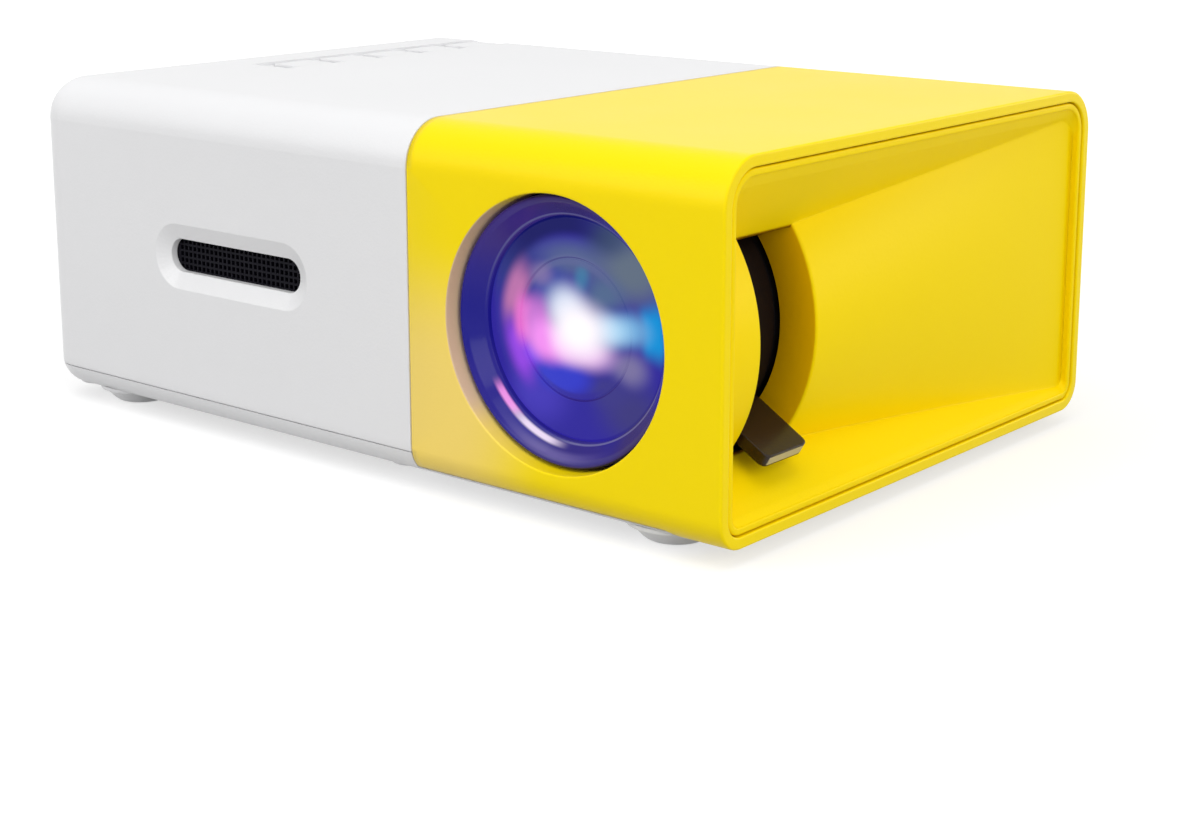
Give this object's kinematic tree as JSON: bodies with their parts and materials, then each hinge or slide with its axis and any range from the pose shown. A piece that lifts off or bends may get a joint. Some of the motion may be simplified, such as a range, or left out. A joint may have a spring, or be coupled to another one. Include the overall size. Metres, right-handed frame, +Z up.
{
  "type": "home projector",
  "caption": "Small box-shaped home projector: white case, yellow lens-end sleeve with a side scoop, focus lever in its window, round lens and slotted vent on the front.",
  "frame": {"origin": "centre of the case's footprint, on the surface it stands on", "axes": "+Z up, -Y the front with the lens, +X the end with the scoop and focus lever"},
  "size_m": [0.126, 0.086, 0.048],
  "materials": {
    "white_case": "smooth satin-gloss moulded ABS",
    "yellow_case": "smooth satin-gloss moulded ABS",
    "black_mesh": "matt black steel sheet, etched with square holes",
    "white_key": "smooth moulded ABS",
    "board": "glass-fibre board with green mask",
    "ring": "black moulded acetal",
    "lever": "dark grey moulded ABS",
    "barrel": "black glossy moulded plastic",
    "black_plastic": "black moulded plastic",
    "lens_glass": "coated optical glass",
    "clear_plate": "clear acrylic or glass plate",
    "mirror": "front-silvered glass",
    "lcd": "panel in a dark frame",
    "brass": "turned brass",
    "aluminium": "extruded aluminium",
    "steel": "plated steel",
    "led": "phosphor under clear resin",
    "parts": "epoxy packages",
    "yellow_jack": "moulded nylon",
    "window": "dark tinted resin",
    "cone": "pressed paper cone",
    "magnet": "plated magnet cup"
  },
  "bodies": {
    "case": {"top_housing": "white_case", "bottom_cover": "white_case", "yellow_sleeve": "yellow_case", "side_scoop": "yellow_case", "front_mesh": "black_mesh", "keypad_board": "board", "lens_mount": "black_plastic", "engine_case": "black_plastic", "engine_lid": "black_plastic", "mirror": "mirror", "lcd_panel": "lcd", "front_fresnel": "clear_plate", "rear_fresnel": "clear_plate", "heat_glass": "clear_plate", "condenser_lens": "lens_glass", "led_board": "aluminium", "led_emitter": "led", "heatsink": "aluminium", "fan_frame": "black_plastic", "main_board": "board", "board_parts": "parts", "hdmi_socket": "steel", "usb_socket": "steel", "card_socket": "steel", "av_jack": "yellow_jack", "earphone_jack": "black_plastic", "power_inlet": "black_plastic", "infrared_receiver": "window", "speaker_frame": "black_plastic", "speaker_cone": "cone", "speaker_magnet": "magnet", "tripod_insert": "brass", "case_screws": "steel"},
    "focus": {"focus_ring": "ring", "focus_lever": "lever"},
    "lens": {"lens_barrel": "barrel", "front_lens": "lens_glass", "middle_lens": "lens_glass", "rear_lens": "lens_glass", "lens_retainer": "black_plastic", "cam_followers": "brass"},
    "fan": {"fan_rotor": "black_plastic"},
    "key_1_body": {"key_1": "white_key"},
    "key_2_body": {"key_2": "white_key"},
    "key_3_body": {"key_3": "white_key"},
    "key_4_body": {"key_4": "white_key"},
    "key_5_body": {"key_5": "white_key"}
  },
  "joints": [
    {"name": "focus_turn", "type": "hinge", "parent": "case", "child": "focus", "pos_m": [0.0374, -0.028, 0.0242], "axis": [0, -1, 0], "range_deg": [0, 62]},
    {"name": "lens_slide", "type": "slide", "parent": "case", "child": "lens", "axis": [0, 1, 0], "range_m": [0, 0.003]},
    {"name": "fan_spin", "type": "hinge", "parent": "case", "child": "fan", "pos_m": [-0.0565, 0.0064, 0.0242], "axis": [1, 0, 0], "continuous": true},
    {"name": "key_1_press", "type": "slide", "parent": "case", "child": "key_1_body", "axis": [0, 0, -1], "range_m": [0, 0.0005], "stiffness_N_per_m": 600, "springref_m": -0.0005},
    {"name": "key_2_press", "type": "slide", "parent": "case", "child": "key_2_body", "axis": [0, 0, -1], "range_m": [0, 0.0005], "stiffness_N_per_m": 600, "springref_m": -0.0005},
    {"name": "key_3_press", "type": "slide", "parent": "case", "child": "key_3_body", "axis": [0, 0, -1], "range_m": [0, 0.0005], "stiffness_N_per_m": 600, "springref_m": -0.0005},
    {"name": "key_4_press", "type": "slide", "parent": "case", "child": "key_4_body", "axis": [0, 0, -1], "range_m": [0, 0.0005], "stiffness_N_per_m": 600, "springref_m": -0.0005},
    {"name": "key_5_press", "type": "slide", "parent": "case", "child": "key_5_body", "axis": [0, 0, -1], "range_m": [0, 0.0005], "stiffness_N_per_m": 600, "springref_m": -0.0005}
  ],
  "couplings": [
    {"joint": "focus_turn", "follows": "lens_slide", "rad_per_m": 360.7}
  ]
}
